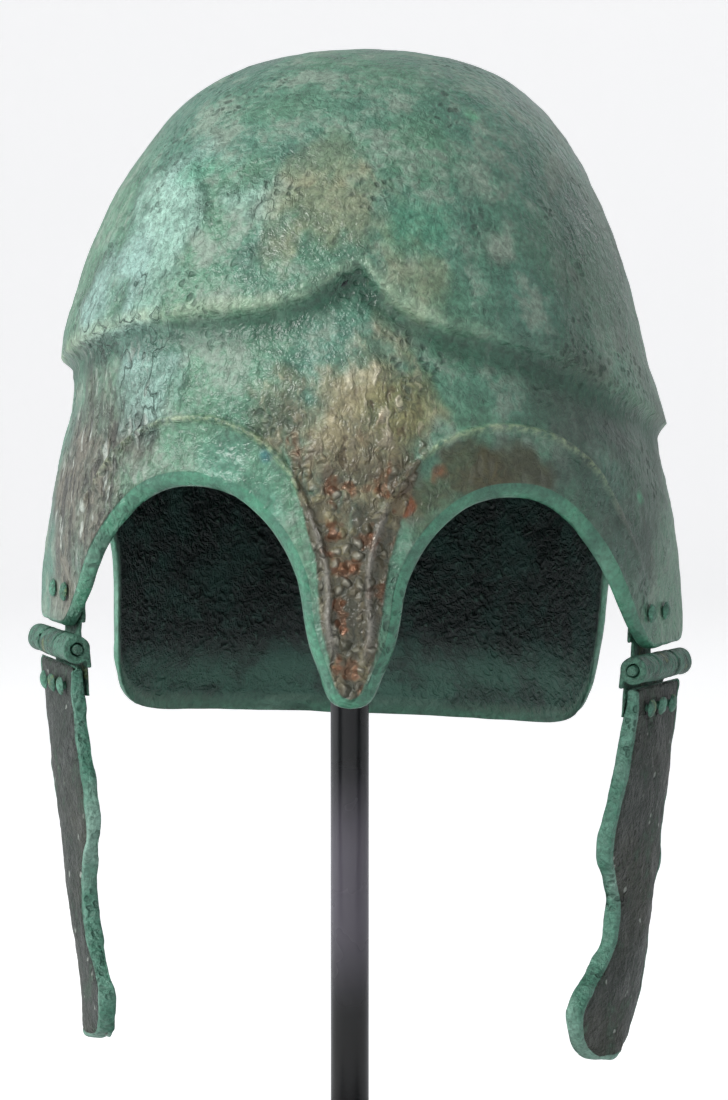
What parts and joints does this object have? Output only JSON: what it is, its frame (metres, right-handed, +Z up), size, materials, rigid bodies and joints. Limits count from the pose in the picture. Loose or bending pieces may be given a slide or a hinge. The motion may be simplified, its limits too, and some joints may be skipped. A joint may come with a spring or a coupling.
{
  "type": "chalcidian helmet on a stand",
  "caption": "Ancient bronze chalcidian helmet with hinged cheek pieces, nose guard, neck guard and green patina, on a plain black rod stand.",
  "frame": {"origin": "middle of the underside of the stand's base, on the surface it stands on", "axes": "+Z up along the stand's rod, -Y the way the helmet faces, +X towards the wearer's left"},
  "size_m": [0.201, 0.2319, 0.3729],
  "materials": {
    "bowl_bronze": "green and grey patina over bronze",
    "cheek_bronze": "dark patina with green edges",
    "hinge_bronze": "green patina",
    "stand_black": "black, half gloss",
    "stand_pad": "matte"
  },
  "bodies": {
    "helmet_and_stand": {"helmet_bowl": "bowl_bronze", "stand_base": "stand_black", "stand_rod": "stand_black", "stand_pad": "stand_pad", "bowl_hinge_leaf_left": "hinge_bronze", "bowl_rivet_left_1": "hinge_bronze", "bowl_rivet_left_2": "hinge_bronze", "hinge_pin_left": "hinge_bronze", "bowl_hinge_leaf_right": "hinge_bronze", "bowl_rivet_right_1": "hinge_bronze", "bowl_rivet_right_2": "hinge_bronze", "hinge_pin_right": "hinge_bronze"},
    "cheek_left": {"cheek_piece_left": "cheek_bronze", "cheek_hinge_leaf_left": "hinge_bronze", "cheek_rivet_left_1": "hinge_bronze", "cheek_rivet_left_2": "hinge_bronze", "cheek_rivet_left_3": "hinge_bronze"},
    "cheek_right": {"cheek_piece_right": "cheek_bronze", "cheek_hinge_leaf_right": "hinge_bronze", "cheek_rivet_right_1": "hinge_bronze", "cheek_rivet_right_2": "hinge_bronze", "cheek_rivet_right_3": "hinge_bronze"}
  },
  "joints": [
    {"name": "cheek_hinge_left", "type": "hinge", "parent": "helmet_and_stand", "child": "cheek_left", "pos_m": [0.09107, -0.05695, 0.18683], "axis": [-0.4065, -0.9136, 0.0131], "range_deg": [-15, 130]},
    {"name": "cheek_hinge_right", "type": "hinge", "parent": "helmet_and_stand", "child": "cheek_right", "pos_m": [-0.08652, -0.05075, 0.19303], "axis": [-0.3418, 0.9397, 0.0131], "range_deg": [-15, 130]}
  ]
}
